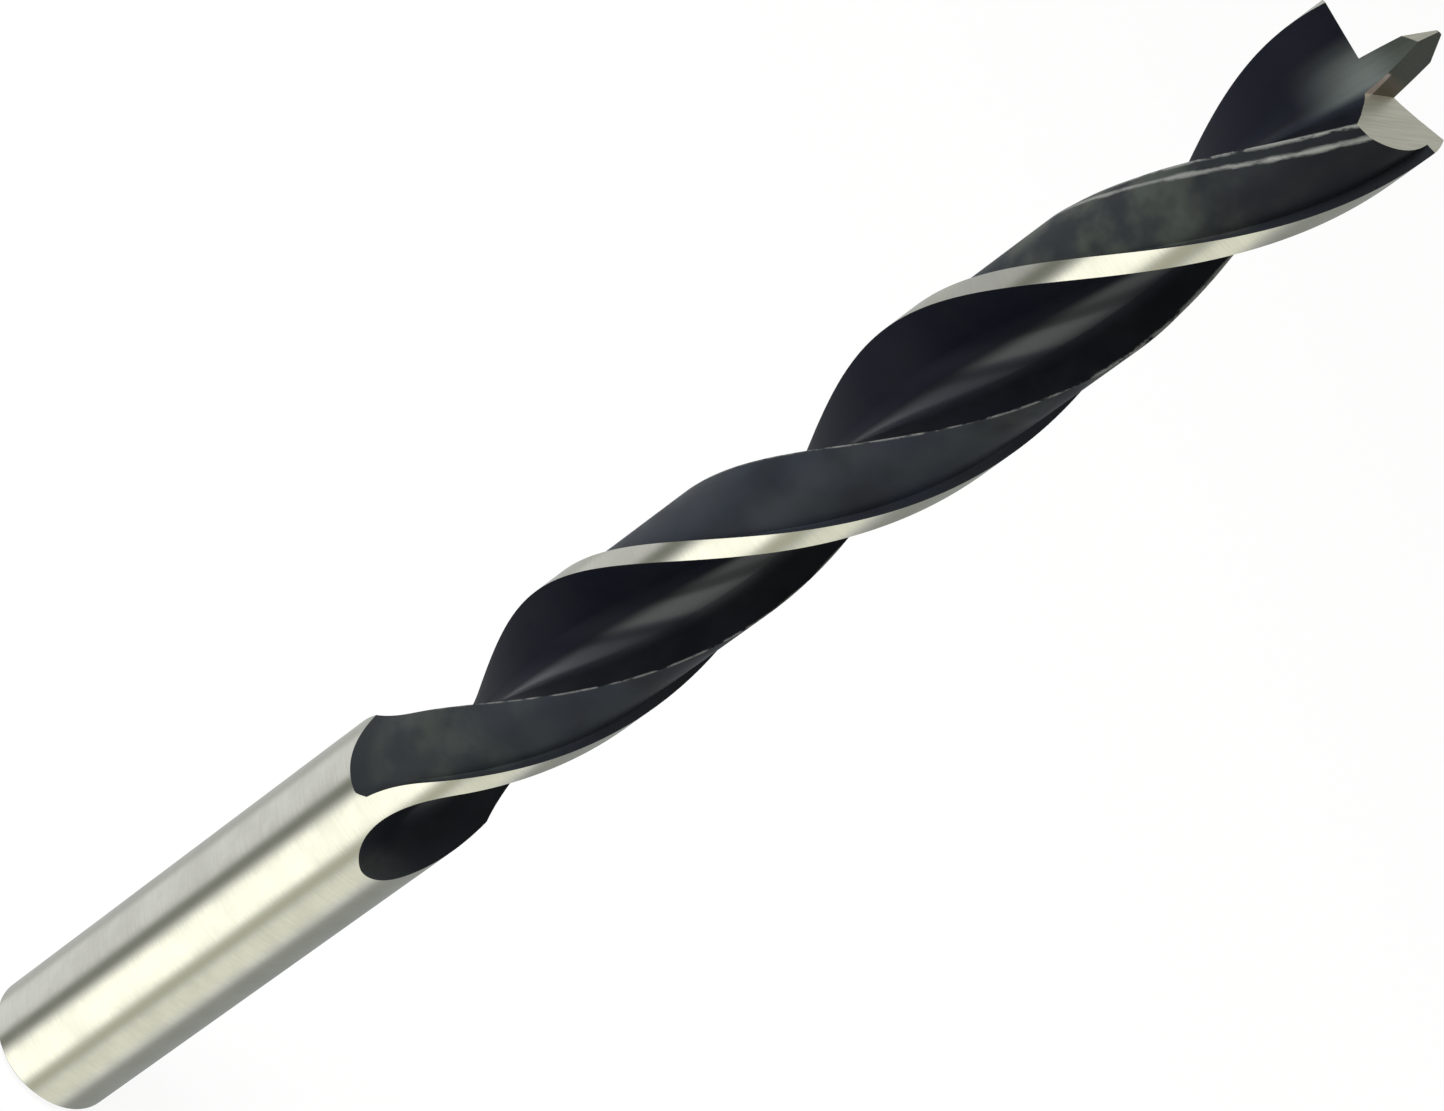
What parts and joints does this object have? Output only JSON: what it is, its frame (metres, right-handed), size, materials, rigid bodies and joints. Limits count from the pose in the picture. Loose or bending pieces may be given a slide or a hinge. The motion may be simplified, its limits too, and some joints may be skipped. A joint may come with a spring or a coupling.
{
  "type": "wood twist drill bit",
  "caption": "Straight round-shank twist drill bit for wood, with helical flutes, narrow bright margins and a brad point between raised spurs.",
  "frame": {"origin": "centre of the shank's flat end face", "axes": "+Z along the bit's axis, from the shank end to the tip of the brad; +X through the outer corner of one cutting lip"},
  "size_m": [0.013, 0.013, 0.151],
  "materials": {
    "tool_steel": "bright ground shank, margins and point; black finish in the flutes and on the lands"
  },
  "bodies": {
    "root": {"drill_bit": "tool_steel"}
  },
  "joints": []
}
